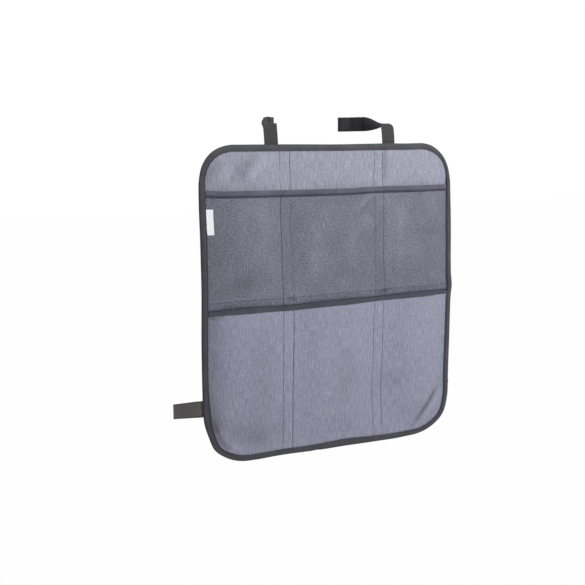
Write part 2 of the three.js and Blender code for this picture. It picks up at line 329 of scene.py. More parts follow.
def strapWebbing():
    paint = Paint("strapWebbing")
    across, along = paint.threads()
    rib = paint.wave(along, webbing["ribPitch"])
    twill = paint.wave(across + along * 0.5, 0.0016)
    fuzz = paint.noise(across, along, 0.0007, 0.0007, 2.0)
    # darker towards the grooves between the ribs, painted shade
    share = paint.step(rib + twill * 0.25 + fuzz * 0.5, -0.7, 0.6)
    return paint.finish({
        "Base Color": paint.mix(share, webbing["groove"], webbing["rib"]),
        "Roughness": 0.55 + fuzz * 0.25,
        "Sheen Weight": 0.2,
        "Sheen Roughness": 0.4,
        "Normal": paint.bump(rib + twill * 0.3, 0.0003, 0.8),
    })


elastic = {
    "cord": tone(0.226, 0.196, 0.200),
    # painted shade in the grooves between the cords
    "groove": tone(0.121, 0.105, 0.110),
    "selvedge": tone(0.115, 0.100, 0.104),
    "cordPitch": 0.0017,
    "wide": 0.0255,
}


def elasticWeave():
    paint = Paint("elasticWeave")
    across, along = paint.threads()
    cord = paint.wave(across, elastic["cordPitch"])
    pick = paint.wave(along, 0.0009)
    fuzz = paint.noise(across, along, 0.0008, 0.0008, 2.0)
    # darker towards the grooves between the cords, painted shade
    body = paint.mix(paint.step(cord + pick * 0.3, -0.8, 0.5), elastic["groove"], elastic["cord"])
    half = elastic["wide"] / 2
    rim = paint.step(paint.absolute(across), half - 0.0028, half - 0.0012)
    return paint.finish({
        "Base Color": paint.mix(rim * 0.8, body, elastic["selvedge"]),
        "Roughness": 0.66 + fuzz * 0.2,
        "Sheen Weight": 0.15,
        "Sheen Roughness": 0.4,
        "Normal": paint.bump(cord + pick * 0.4, 0.00022, 0.8),
    })


def labelSatin():
    paint = Paint("labelSatin")
    across, along = paint.threads()
    thread = paint.wave(across, 0.00055)
    soft = paint.noise(across, along, 0.006, 0.010, 2.0)
    return paint.finish({
        "Base Color": paint.mix(soft, tone(0.86, 0.87, 0.92), tone(0.93, 0.91, 0.94)),
        "Roughness": 0.36 + soft * 0.15,
        "Sheen Weight": 0.1,
        "Sheen Roughness": 0.3,
        "Normal": paint.bump(thread * 0.4 + soft, 0.00012, 0.6),
    })


def sewingThread():
    paint = Paint("sewingThread")
    ply = paint.node("ShaderNodeTexNoise", {}, {"Vector": paint.spot(), "Scale": 1800.0, "Detail": 2.0})
    return paint.finish({
        "Base Color": paint.mix(ply, tone(0.018, 0.017, 0.023), tone(0.050, 0.048, 0.058)),
        "Roughness": 0.5 + ply * 0.2,
        "Normal": paint.bump(ply, 0.00012, 0.6),
    })


cloths = {
    "heather": heatherCloth(),
    "mesh": meshCloth(),
    "edgeTape": bindingTape("edge"),
    "mouthTape": bindingTape("mouth"),
    # the lower mouth's tape, in painted shade
    "lowerTape": bindingTape("lower"),
    "webbing": strapWebbing(),
    "elastic": elasticWeave(),
    "label": labelSatin(),
    "thread": sewingThread(),
}
print("cloths mixed")


# Where the cloth lies

# Where the sewn mat lies a little off its pattern: place, reach, and shift sideways and upwards
leans = [
    # left edge, right edge
    ((-0.215, 0.257), (0.030, 0.018), (-0.0018, 0.0004)),
    ((-0.245, 0.213), (0.030, 0.017), (0.0019, 0.0)),
    ((-0.245, 0.120), (0.040, 0.040), (0.0009, 0.0)),
    ((-0.245, -0.095), (0.040, 0.070), (-0.0006, 0.0)),
    ((-0.245, 0.185), (0.040, 0.030), (0.0008, 0.0)),
    ((-0.245, 0.040), (0.050, 0.060), (0.0015, 0.0)),
    ((-0.240, -0.215), (0.035, 0.030), (0.0040, 0.0)),
    ((-0.215, -0.232), (0.022, 0.016), (-0.0028, -0.0008)),
    ((0.245, 0.225), (0.040, 0.040), (-0.0010, 0.0)),
    ((0.247, 0.010), (0.030, 0.050), (0.0028, 0.0)),
    ((0.247, 0.006), (0.030, 0.016), (0.0022, 0.0)),
    ((0.225, -0.235), (0.030, 0.025), (0.0048, -0.0020)),
    # top edge and the straps sewn to it, bottom edge
    ((0.010, 0.270), (0.070, 0.020), (0.0, -0.0011)),
    ((0.150, 0.262), (0.030, 0.012), (0.0, -0.0006)),
    ((0.113, 0.276), (0.050, 0.024), (0.0018, 0.0)),
    ((-0.113, 0.276), (0.050, 0.024), (0.0012, 0.0)),
    ((-0.145, -0.265), (0.030, 0.024), (0.0, -0.0012)),
    ((-0.020, -0.265), (0.050, 0.030), (0.0, -0.0017)),
    ((0.073, -0.265), (0.060, 0.035), (0.0, -0.0026)),
    ((0.140, -0.262), (0.040, 0.024), (0.0, -0.0028)),
    ((0.195, -0.255), (0.030, 0.020), (0.0010, -0.0024)),
    ((-0.034, -0.268), (0.006, 0.010), (0.0, 0.0009)),
    # the two pocket mouths
    ((-0.065, 0.186), (0.085, 0.018), (0.0, -0.0016)),
    ((0.030, 0.186), (0.040, 0.016), (0.0, -0.0010)),
    ((-0.232, 0.186), (0.016, 0.018), (0.0, 0.0018)),
    ((-0.235, -0.006), (0.030, 0.016), (0.0, -0.0012)),
    ((-0.087, -0.012), (0.045, 0.020), (0.0, -0.0022)),
    ((0.130, -0.006), (0.070, 0.015), (0.0, 0.0011)),
    ((0.165, -0.010), (0.045, 0.018), (0.0, 0.0014)),
    ((0.232, -0.010), (0.040, 0.018), (0.0, 0.0024)),
    # the sewn lines
    ((-0.090, 0.150), (0.040, 0.045), (-0.0019, 0.0)),
    ((-0.078, 0.130), (0.011, 0.022), (-0.0020, 0.0)),
    ((-0.090, 0.014), (0.045, 0.026), (0.0026, 0.0)),
    ((-0.090, -0.035), (0.050, 0.035), (0.0016, 0.0)),
    ((-0.078, -0.070), (0.012, 0.045), (0.0016, 0.0)),
    ((0.077, 0.235), (0.012, 0.020), (0.0032, 0.0)),
    ((0.076, 0.095), (0.012, 0.040), (0.0016, 0.0)),
    ((0.090, 0.020), (0.060, 0.030), (0.0034, 0.0)),
    ((0.088, -0.068), (0.050, 0.035), (-0.0014, 0.0)),
    ((0.088, -0.168), (0.060, 0.052), (-0.0048, 0.0)),
    ((0.088, -0.255), (0.050, 0.020), (0.0010, 0.0)),
]


def ramp(value, start, end):
    return min(max((value - start) / (end - start), 0.0), 1.0)


def ease(value, start, end):
    share = ramp(value, start, end)
    return share * share * (3 - 2 * share)


def bell(distance, reach):
    return math.exp(-(distance / reach) ** 2)


def rearFace(x, z):
    side = ramp(abs(x), mat["flatHalfWidth"], mat["halfWidth"])
    above = ramp(z, mat["flatAbove"], mat["halfHeight"])
    below = ramp(-z, mat["flatBelow"], mat["halfHeight"])
    return mat["sideSetback"] * side ** 2 + mat["topSetback"] * above ** 2 + mat["bottomSetback"] * below ** 2


def cornerRadius(z):
    return mat["topRadius"] if z > 0 else mat["bottomRadius"]


def topEdge(x, inset):
    past = max(abs(x) - (mat["halfWidth"] - mat["topRadius"]), 0.0)
    reach = math.sqrt(max((mat["topRadius"] - inset) ** 2 - past ** 2, 0.0))
    return mat["halfHeight"] - mat["topRadius"] + reach


def bottomEdge(x, inset):
    past = max(abs(x) - (mat["halfWidth"] - mat["bottomRadius"]), 0.0)
    reach = math.sqrt(max((mat["bottomRadius"] - inset) ** 2 - past ** 2, 0.0))
    return mat["bottomRadius"] - mat["halfHeight"] - reach


def insideDistance(x, z):
    radius = cornerRadius(z)
    sideways = abs(x) - (mat["halfWidth"] - radius)
    upwards = abs(z) - (mat["halfHeight"] - radius)
    bend = math.hypot(max(sideways, 0.0), max(upwards, 0.0))
    return radius - bend - min(max(sideways, upwards), 0.0)


def pillow(x, z):
    fromSeam = max(mat["seamInner"] - abs(x), abs(x) - mat["seamOuter"], 0.0)
    fromEdge = max(insideDistance(x, z) - tape["wide"], 0.0)
    return mat["full"] * ease(fromSeam, 0.0, mat["fullRise"]) * ease(fromEdge, 0.0, mat["fullRise"])


def shift(x, z):
    sideways = upwards = 0.0
    for (overX, overZ), (reachX, reachZ), (byX, byZ) in leans:
        share = bell(x - overX, reachX) * bell(z - overZ, reachZ)
        sideways += share * byX
        upwards += share * byZ
    return sideways, upwards


def sway(x, z):  # gentle hang that every layer shares, forwards
    loose = 1 - ease(insideDistance(x, z), 0.0, 0.09)
    wide = 0.0005 * math.sin(x * 23 + 1.1) * math.sin(z * 19 + 0.4)
    edge = 0.0009 * math.sin(x * 41 + 0.7) * math.cos(z * 37 - 0.5)
    return wide + loose * edge


def place(x, z, depth):  # a point of the mat, so far in front of its rear face
    sideways, upwards = shift(x, z)
    return Vector((x + sideways, rearFace(x, z) - depth - sway(x, z), z + upwards))


def follow(point):  # moves a free strap's point with the mat it is sewn to
    x = min(max(point.x, -mat["halfWidth"]), mat["halfWidth"])
    z = min(max(point.z, -mat["halfHeight"]), mat["halfHeight"])
    moved = place(x, z, 0.0) - Vector((x, rearFace(x, z), z))
    return point + moved * (1 - ease(point.y, 0.008, 0.060))


# Sheet tools

def addGrid(name, across, along):
    bpy.ops.object.select_all(action="DESELECT")
    bpy.ops.mesh.primitive_grid_add(x_subdivisions=across, y_subdivisions=along, size=2)
    sheet = bpy.context.object
    sheet.name = name
    sheet.data.name = name
    return sheet


def pick(piece):  # selects one piece alone
    bpy.ops.object.select_all(action="DESELECT")
    piece.select_set(True)
    bpy.context.view_layer.objects.active = piece


def modify(piece, kind, **settings):
    pick(piece)
    modifier = piece.modifiers.new(kind.lower(), kind)
    for key, value in settings.items():
        setattr(modifier, key, value)
    bpy.ops.object.modifier_apply(modifier=modifier.name)


def editMesh(piece, action):  # runs one operator on the whole mesh in edit mode
    pick(piece)
    bpy.ops.object.mode_set(mode="EDIT")
    bpy.ops.mesh.select_all(action="SELECT")
    action()
    bpy.ops.object.mode_set(mode="OBJECT")


# A sheet from a grid: columns across, rows along, the point and the cloth's own place of each crossing
def shapeSheet(name, across, along, pointAt, clothAt, thick, side=-1.0, ring=False, paintedLightAt=None):
    sheet = addGrid(name, across, along)
    crossings = []
    for vertex in sheet.data.vertices:
        i = round((vertex.co.x + 1) / 2 * across)
        j = round((vertex.co.y + 1) / 2 * along)
        crossings.append((i, j))
        vertex.co = pointAt(i, j)
    flat = sheet.data.uv_layers[0]
    flat.name = "threads"
    for loop in sheet.data.loops:
        flat.data[loop.index].uv = clothAt(*crossings[loop.vertex_index])
    if paintedLightAt:
        paintedLight = sheet.data.attributes.new("paintedLight", "FLOAT", "POINT")
        for k, crossing in enumerate(crossings):
            paintedLight.data[k].value = paintedLightAt(*crossing)
    if ring:
        editMesh(sheet, lambda: bpy.ops.mesh.remove_doubles(threshold=0.00002))
    modify(sheet, "SOLIDIFY", thickness=thick, offset=side, use_even_offset=True)
    return sheet


def dress(piece, cloth, slot, *nodes, angle=50):
    piece.data.materials.clear()
    piece.data.materials.append(cloths[cloth])
    pick(piece)
    bpy.ops.object.shade_smooth_by_angle(angle=math.radians(angle))
    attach(piece, "root")
    if nodes:
        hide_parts(*nodes)
    return piece


columns = {
    "pitch": 0.0036,
    "even": 0.1439,  # even to here, then closer together towards the side edges
    "bendSteps": 36,
    "bySeam": (-0.0028, -0.0015, -0.0007, 0.0, 0.0007, 0.0015, 0.0028),
    "seamClear": 0.0042,
}


def columnPlaces(limit):
    fine = [seam + off for seam in sewnLines for off in columns["bySeam"]]
    even, steps = columns["even"], columns["bendSteps"]
    count = round(2 * even / columns["pitch"])
    places = [-even + 2 * even * i / count for i in range(count + 1)]
    bend = [even + (limit - even) * math.sin(math.pi / 2 * i / steps) for i in range(1, steps + 1)]
    places += bend + [-x for x in bend]

    def kept(x):
        return min(abs(x - seam) for seam in sewnLines) > columns["seamClear"] or abs(x) > limit - 1e-6

    places = [x for x in places if kept(x)]
    return sorted(set(round(x, 7) for x in places + fine if abs(x) <= limit + 1e-7))


sheetColumns = columnPlaces(mat["halfWidth"] - mat["inset"])  # of the panel and both pocket sheets


def rowPlaces(low, high, pitch):
    count = max(round((high - low) / pitch), 1)
    return [low + (high - low) * i / count for i in range(count + 1)]


def pinch(x, deep, reach=0.0021):
    return deep * max(bell(abs(x) - mat["seamInner"], reach), bell(abs(x) - mat["seamOuter"], reach))


# Soft folds: from, to, half width and height of each
meshFolds = [
    ((0.0805, 0.183), (0.0373, 0.148), 0.0055, 0.0018),
    ((0.0860, 0.136), (0.0550, 0.098), 0.0055, 0.0016),
    ((0.070, 0.100), (0.036, 0.045), 0.0090, 0.0012),
    ((0.060, 0.176), (0.012, 0.150), 0.0060, -0.0010),
    ((-0.076, 0.165), (-0.030, 0.095), 0.0100, 0.0010),
    ((0.104, 0.165), (0.118, 0.060), 0.0080, 0.0011),
    ((0.135, 0.170), (0.142, 0.080), 0.0090, -0.0009),
    ((-0.060, 0.030), (-0.018, 0.060), 0.0080, 0.0010),
    ((0.190, 0.030), (0.236, 0.014), 0.0070, 0.0011),
    ((-0.130, 0.160), (-0.150, 0.070), 0.0120, 0.0009),
]
lowerFolds = [
    ((0.226, -0.168), (0.170, -0.240), 0.0042, -0.0021),
    ((0.231, -0.182), (0.180, -0.246), 0.0052, 0.0010),
    ((-0.229, -0.178), (-0.206, -0.232), 0.0030, 0.0011),
    ((-0.206, -0.232), (-0.170, -0.250), 0.0030, 0.0008),
    ((-0.233, -0.014), (-0.214, -0.019), 0.0022, -0.0012),
    ((-0.150, -0.060), (-0.165, -0.190), 0.0120, 0.0007),
    ((-0.200, -0.040), (-0.210, -0.150), 0.0090, -0.0008),
    ((-0.040, -0.050), (-0.020, -0.170), 0.0130, 0.0006),
    ((0.045, -0.070), (0.055, -0.200), 0.0100, 0.0006),
    ((0.130, -0.060), (0.160, -0.130), 0.0110, 0.0007),
]
topFolds = [
    ((0.102, 0.258), (0.101, 0.196), 0.0040, -0.0007),
    ((-0.142, 0.251), (-0.186, 0.207), 0.0090, -0.0006),
    ((-0.118, 0.250), (-0.160, 0.205), 0.0090, 0.0006),
    ((0.020, 0.250), (0.030, 0.200), 0.0110, 0.0005),
]

# Painted light and shade where the hung cloth turns to or from the light: from, to, half width and how much
# lighter
meshShades = [
    ((0.0805, 0.183), (0.0373, 0.148), 0.0036, 0.16),
    ((0.0780, 0.171), (0.0400, 0.138), 0.0036, -0.12),
    ((0.0740, 0.140), (0.0550, 0.126), 0.0100, 0.15),
    ((0.0720, 0.118), (0.0420, 0.099), 0.0085, -0.15),
    ((0.0880, 0.136), (0.0580, 0.100), 0.0032, 0.13),
    ((0.0900, 0.126), (0.0620, 0.092), 0.0036, -0.12),
    ((0.0700, 0.088), (0.0500, 0.050), 0.0080, -0.08),
    ((0.135, 0.175), (0.135, 0.030), 0.0170, 0.20),
    ((0.165, 0.112), (0.215, 0.108), 0.0100, -0.12),
    ((0.110, 0.175), (0.111, 0.030), 0.0050, 0.10),
    ((0.188, 0.105), (0.190, 0.045), 0.0120, -0.14),
    ((0.021, 0.105), (0.021, 0.085), 0.0080, 0.12),
    ((-0.045, 0.173), (0.030, 0.168), 0.0080, -0.12),
    ((-0.042, 0.140), (-0.042, 0.020), 0.0130, 0.20),
    ((-0.140, 0.168), (-0.126, 0.132), 0.0150, 0.18),
    ((-0.210, 0.026), (-0.150, 0.042), 0.0120, -0.13),
    ((0.008, 0.026), (0.034, 0.026), 0.0120, 0.18),
    ((-0.092, 0.0100), (-0.074, 0.0060), 0.0024, -0.38),
    ((0.084, 0.0060), (0.112, 0.0085), 0.0028, -0.45),
    ((-0.215, 0.0030), (-0.150, 0.0030), 0.0040, -0.13),
]
lowerShades = [
    ((-0.137, -0.020), (-0.140, -0.240), 0.0260, -0.15),
    ((-0.205, -0.195), (-0.120, -0.238), 0.0180, -0.16),
    ((-0.234, -0.140), (-0.216, -0.215), 0.0080, -0.12),
    ((-0.103, -0.180), (-0.103, -0.240), 0.0120, -0.10),
    ((0.020, -0.090), (0.026, -0.190), 0.0280, -0.09),
    ((0.085, -0.152), (0.155, -0.156), 0.0180, -0.09),
    ((0.2215, -0.1766), (0.1670, -0.2473), 0.0042, -0.46),
    ((0.2290, -0.1850), (0.1780, -0.2500), 0.0040, 0.12),
    ((-0.2290, -0.1830), (-0.2120, -0.2180), 0.0022, 0.26),
    ((-0.2120, -0.2180), (-0.1820, -0.2440), 0.0022, 0.26),
    ((-0.2330, -0.0130), (-0.2170, -0.0177), 0.0018, -0.45),
    ((-0.2310, -0.1800), (-0.2210, -0.2150), 0.0060, -0.38),
    ((-0.2210, -0.2150), (-0.1950, -0.2400), 0.0060, -0.30),
]
topShades = [
    ((0.1050, 0.264), (0.1050, 0.194), 0.0045, -0.24),
    ((-0.142, 0.251), (-0.186, 0.207), 0.0100, -0.20),
    ((-0.118, 0.250), (-0.160, 0.205), 0.0090, 0.14),
    ((-0.200, 0.214), (-0.188, 0.230), 0.0090, 0.12),
    ((-0.232, 0.205), (-0.208, 0.243), 0.0070, -0.15),
    ((-0.166, 0.226), (-0.158, 0.203), 0.0090, -0.13),
    ((-0.072, 0.225), (-0.072, 0.200), 0.0090, -0.10),
]


def foldHeight(folds, x, z):
    height = 0.0
    for (fromX, fromZ), (toX, toZ), reach, rise in folds:
        spanX, spanZ = toX - fromX, toZ - fromZ
        length = math.hypot(spanX, spanZ)
        along = ((x - fromX) * spanX + (z - fromZ) * spanZ) / length ** 2
        if -0.2 < along < 1.2:
            off = ((x - fromX) * spanZ - (z - fromZ) * spanX) / length
            height += rise * bell(off, reach) * ease(along, -0.2, 0.35) * (1 - ease(along, 0.65, 1.2))
    return height


def ripple(x, z):  # small unevenness of hung cloth
    return 0.00022 * math.sin(x * 61 + z * 17) * math.sin(z * 47 - x * 11 + 1.3)


def meshRear(x, z):  # depth of the mesh pocket's rear
    forward = ease(z, mat["hemTop"], mat["hemTop"] + mat["fullRise"])
    loose = ease(insideDistance(x, z), 0.010, 0.022)
    soft = (foldHeight(meshFolds, x, z) + ripple(x, z)) * loose * ease(z, 0.004, 0.022)
    return mat["netBehind"] + forward * (mat["netForward"] + pillow(x, z)) + soft


def lowerRear(x, z):
    loose = ease(insideDistance(x, z), 0.010, 0.022)
    return mat["lowerBehind"] + pillow(x, z) + (foldHeight(lowerFolds, x, z) + ripple(x, z)) * loose


def lowerDip(x, z):  # the lower mouth's tape sags, and shows a dark slit over it
    ends = 0.0010 * (1 - ease(x, -0.236, -0.190)) + 0.0008 * ease(x, 0.170, 0.225)
    uneven = 0.0004 * math.sin(x * 37 + 0.6)
    return (0.0044 + ends + uneven) * ease(z, -0.0125, 0.0010)


# Back panel

panel = {"name": "backPanel", "groove": 0.00030, "rows": 150, "flat": (0.4878, 0.5278)}


def panelPlace(i, j):
    x = sheetColumns[i]
    low = bottomEdge(x, mat["inset"])
    return x, low + (topEdge(x, mat["inset"]) - low) * j / panel["rows"]


def panelPoint(i, j):
    x, z = panelPlace(i, j)
    shown = ease(z, 0.185, 0.195)
    soft = shown * (foldHeight(topFolds, x, z) + ripple(x, z)) * ease(insideDistance(x, z), 0.010, 0.022)
    return place(x, z, mat["panelThick"] + soft - pinch(x, panel["groove"]))


def panelPaintedLight(i, j):  # the shade inside the pockets' mouths too
    x, z = panelPlace(i, j)
    inside = ease(z, -0.040, -0.012) * (1 - ease(z, 0.150, 0.188))
    return foldHeight(topShades, x, z) * ease(z, 0.185, 0.195) - 0.64 * inside


backPanel = shapeSheet(
    panel["name"], len(sheetColumns) - 1, panel["rows"], panelPoint, panelPlace, mat["panelThick"],
    paintedLightAt=panelPaintedLight)
dress(backPanel, "heather", "heather_cloth", "back_panel")
print("back panel:", len(backPanel.data.polygons), "faces")


# Pocket sheets

meshSheet = {
    "name": "meshPocket", "thick": 0.0008, "foot": 0.0013, "hemStep": 0.0004, "hemSeam": 0.0092,
    "hemDrop": 0.0034, "groove": 0.00045, "flat": (0.4945, 0.2120),
}
meshRows = [meshSheet["foot"], 0.0030, 0.0050, 0.0070, 0.0090, 0.0104, 0.0110, 0.0114, 0.0122, 0.0138]
meshRows += rowPlaces(0.0165, mat["meshMouth"] - mat["inset"], 0.0031)


def meshPlace(i, j):
    return sheetColumns[i], meshRows[j]


def hemDrop(z):  # the hem hangs down over the lower mouth
    return meshSheet["hemDrop"] * (1 - ease(z, meshSheet["foot"], 0.0100))


def meshPoint(i, j):
    x, z = meshPlace(i, j)
    hem = 1 - ease(z, mat["hemTop"] - 0.0004, mat["hemTop"] + 0.0002)
    stitched = 0.00022 * bell(z - meshSheet["hemSeam"], 0.0011)
    depth = meshRear(x, z) + meshSheet["thick"] + hem * meshSheet["hemStep"] - stitched
    return place(x, z, depth - pinch(x, meshSheet["groove"])) - Vector((0, 0, hemDrop(z)))


meshPocket = shapeSheet(
    meshSheet["name"], len(sheetColumns) - 1, len(meshRows) - 1, meshPoint, meshPlace, meshSheet["thick"],
    paintedLightAt=lambda i, j: foldHeight(meshShades, *meshPlace(i, j)))
dress(meshPocket, "mesh", "mesh_cloth", "mesh_pocket")
print("mesh pocket:", len(meshPocket.data.polygons), "faces")

# Its shade is painted shade that darkens the whole lower pocket, further from the light
lowerSheet = {
    "name": "lowerPocket", "thick": 0.0010, "groove": 0.00045, "rows": 80, "shade": -0.07,
    "flat": (0.4945, 0.2660),
}


def lowerPlace(i, j):
    x = sheetColumns[i]
    low = bottomEdge(x, mat["inset"])
    return x, low + (mat["lowerMouth"] - mat["inset"] - low) * j / lowerSheet["rows"]


def lowerPoint(i, j):
    x, z = lowerPlace(i, j)
    depth = lowerRear(x, z) + lowerSheet["thick"] - pinch(x, lowerSheet["groove"])
    return place(x, z, depth) - Vector((0, 0, lowerDip(x, z)))


# The lower pocket carries its painted light and shade, with painted shade all over
lowerPocket = shapeSheet(
    lowerSheet["name"], len(sheetColumns) - 1, lowerSheet["rows"], lowerPoint, lowerPlace,
    lowerSheet["thick"],
    paintedLightAt=lambda i, j: foldHeight(lowerShades, *lowerPlace(i, j)) + lowerSheet["shade"])
dress(lowerPocket, "heather", "heather_cloth", "lower_pocket")
print("lower pocket:", len(lowerPocket.data.polygons), "faces")


# Folded tapes

fold = {
    "thick": 0.0008, "puff": 0.00060, "stitchIn": 0.0022, "stitchDeep": 0.00045,
    "frontCells": 11, "bendCells": 7,
    "behind": 0.0011,  # how far a mouth's tape reaches behind its sheet
    "seamDeep": 0.0005, "seamReach": 0.0030,
}


# The line through the middle of a tape folded over layers that lie between two depths: the distance
# in from the fold and the depth of each point, with how far along the tape's own width it is
def foldLine(rearDepth, frontDepth, wide):
    half = fold["thick"] / 2
    radius = (frontDepth - rearDepth) / 2 + half
    middle = (frontDepth + rearDepth) / 2
    flat = wide - half - radius

    def puffed(share):
        dent = bell(flat * (1 - share) - fold["stitchIn"], 0.0010)
        return fold["puff"] * math.sin(math.pi * share) - fold["stitchDeep"] * dent

    shares = [k / fold["frontCells"] for k in range(fold["frontCells"] + 1)]
    front = [(half + radius + flat * share, middle + radius + puffed(share)) for share in shares]
    rear = [(half + radius + flat * share, middle - radius - puffed(share)) for share in shares]
    bend = []
    for k in range(1, fold["bendCells"]):
        angle = math.pi / 2 - math.pi * k / fold["bendCells"]
        bend.append((half + radius * (1 - math.cos(angle)), middle + radius * math.sin(angle)))
    return front[::-1] + bend + rear


foldCells = 2 * fold["frontCells"] + fold["bendCells"]
border = {"name": "edgeBinding", "cell": 0.0042, "pucker": 0.00022, "pocketLayers": 0.0026}


# Places along the outline with their outward direction, clockwise from the top left
def outlinePlaces(cell):
    corners = [(-1, 1, mat["topRadius"], 180), (1, 1, mat["topRadius"], 90)]
    corners += [(1, -1, mat["bottomRadius"], 0), (-1, -1, mat["bottomRadius"], -90)]
    found = []
    for sideways, upwards, radius, start in corners:
        middle = (sideways * (mat["halfWidth"] - radius), upwards * (mat["halfHeight"] - radius))
        steps = math.ceil(radius * math.pi / 2 / cell)
        for k in range(steps + 1):
            angle = math.radians(start - 90 * k / steps)
            out = (math.cos(angle), math.sin(angle))
            found.append((middle[0] + radius * out[0], middle[1] + radius * out[1], *out))
    filled = []
    for here, after in zip(found, found[1:] + found[:1]):
        filled.append(here)
        spanX, spanZ = after[0] - here[0], after[1] - here[1]
        steps = round(math.hypot(spanX, spanZ) / cell)
        for k in range(1, steps):
            share = k / steps
            filled.append((here[0] + spanX * share, here[1] + spanZ * share, *here[2:]))
    lengths = [0.0]
    for here, after in zip(filled, filled[1:] + filled[:1]):
        lengths.append(lengths[-1] + math.dist(here[:2], after[:2]))
    return filled, lengths


def layersDepth(z):  # the layers held by the edge binding, the back panel alone above the mesh row
    start = -mat["meshMouth"] - 2 * tape["wide"]
    return mat["panelThick"] + border["pocketLayers"] * ease(-z, start, -mat["meshMouth"] - mat["gap"])


outline, outlineLengths = outlinePlaces(border["cell"])


def tapeShare(x, z):  # the tape is folded unevenly, narrower at the top corners and wider at the foot
    corner = bell(abs(x) - 0.236, 0.034) * bell(z - 0.230, 0.045) * (1.1 if x > 0 else 0.25)
    foot = bell(x - 0.02, 0.055) * ease(-z, 0.20, 0.25)
    right = ease(x, 0.20, 0.24) * (bell(z + 0.15, 0.07) * 0.14 + bell(z - 0.12, 0.05) * 0.09)
    left = ease(-x, 0.20, 0.24) * (bell(z + 0.10, 0.09) * 0.10 - bell(z + 0.180, 0.028) * 0.20)
    return 1 - 0.30 * corner + 0.22 * foot + right - left


def edgePoint(k, inward, depth):
    x, z, outX, outZ = outline[k % len(outline)]
    along = outlineLengths[k % len(outline)]
    uneven = border["pucker"] * math.sin(along * 520 + 2 * math.sin(along * 71)) * ease(inward, 0.003, 0.011)
    inX, inZ = x - outX * (inward + uneven), z - outZ * (inward + uneven)
    return place(inX, inZ, depth + uneven * 0.4)


def borderPoint(i, j):
    k = j % len(outline)
    x, z = outline[k][:2]
    line = foldLine(-mat["gap"], layersDepth(z) + mat["gap"], tape["wide"] * tapeShare(x, z))
    return edgePoint(k, *line[i])


def borderCloth(i, j):
    line = foldLine(-mat["gap"], mat["panelThick"] + mat["gap"], tape["wide"])
    return line[i][0], outlineLengths[j]


edgeBinding = shapeSheet(
    border["name"], foldCells, len(outline), borderPoint, borderCloth, fold["thick"], 0.0, True)
dress(edgeBinding, "edgeTape", "binding_tape", "edge_binding")
print("edge binding:", len(edgeBinding.data.polygons), "faces")


def mouthTape(name, mouth, rearAt, clothThick, dipAt, cloth, node):
    limit = mat["halfWidth"] - tape["wide"] - mat["gap"]
    spots = [-limit] + [x for x in sheetColumns if abs(x) < limit - 0.0006] + [limit]
    lineHere = foldLine(fold["thick"], fold["thick"] + 2 * mat["gap"] + clothThick, tape["wide"])

    def point(i, j):
        x = spots[j]
        inward, depth = lineHere[i]
        uneven = border["pucker"] * math.sin(x * 610 + 2 * math.sin(x * 67)) * ease(inward, 0.003, 0.011)
        z = mouth - inward - uneven
        front = ease(depth, 0.0010, 0.0025)
        base = rearAt(x, z) - fold["behind"] - pinch(x, fold["seamDeep"], fold["seamReach"]) * front
        return place(x, z, base + depth) - Vector((0, 0, dipAt(x, z)))

    def clothPlace(i, j):
        return lineHere[i][0], spots[j]

    piece = shapeSheet(name, foldCells, len(spots) - 1, point, clothPlace, fold["thick"], 0.0)
    dress(piece, cloth, "binding_tape", node)
    print(name + ":", len(piece.data.polygons), "faces")
    return piece


def noDip(x, z):
    return 0.0


meshBinding = mouthTape(
    "meshPocketBinding", mat["meshMouth"], meshRear, meshSheet["thick"], noDip, "mouthTape",
    "mesh_pocket_binding")
lowerBinding = mouthTape(
    "lowerPocketBinding", mat["lowerMouth"], lowerRear, lowerSheet["thick"], lowerDip, "lowerTape",
    "lower_pocket_binding")


# Side label

label = {
    "left": -0.2346, "right": -0.2224, "low": 0.121, "high": 0.162, "thick": 0.00024, "lift": 0.0008,
    "halfCells": 16, "rows": 14,
}


def labelPlace(i, j):  # across the ribbon's front half, then back across its rear half
    share = i / label["halfCells"]
    x = label["left"] + (label["right"] - label["left"]) * (share if share <= 1 else 2 - share)
    return x, label["low"] + (label["high"] - label["low"]) * j / label["rows"]


def labelPoint(i, j):
    x, z = labelPlace(i, j)
    down = (label["high"] - z) / (label["high"] - label["low"])
    out = (x - label["left"]) / (label["right"] - label["left"])
    curl = label["lift"] * out ** 2 * (0.6 + 0.4 * math.sin(j * 0.45 + 0.6))
    half = label["halfCells"]
    front = 0.00045 if i < half else 0.00022 if i == half else 0.0
    x += 0.0016 * ease(down, 0.72, 1.0) * (1 - out)
    return place(x, z, meshRear(x, z) + meshSheet["thick"] + 0.0004 + curl + front)


sideLabel = shapeSheet(
    "sideLabel", 2 * label["halfCells"], label["rows"], labelPoint, labelPlace, label["thick"], 0.0)
dress(sideLabel, "label", "label_cloth", "side_label")
print("label:", len(sideLabel.data.polygons), "faces")


# Straps and elastic band

loop = {
    "offset": 0.113, "wide": 0.025, "thick": 0.0015, "tail": 0.038, "stand": 0.027, "bend": 0.009,
    "twist": 0.042, "sewn": 0.022, "rootLean": 4, "standLean": 12, "turn": 25,
    "radius": 0.0083, "opening": 25, "easing": 0.015, "camber": 0.0002,
}


def behindBinding(x, z, thick):
    return rearFace(x, z) + 2 * mat["gap"] + fold["thick"] + thick / 2


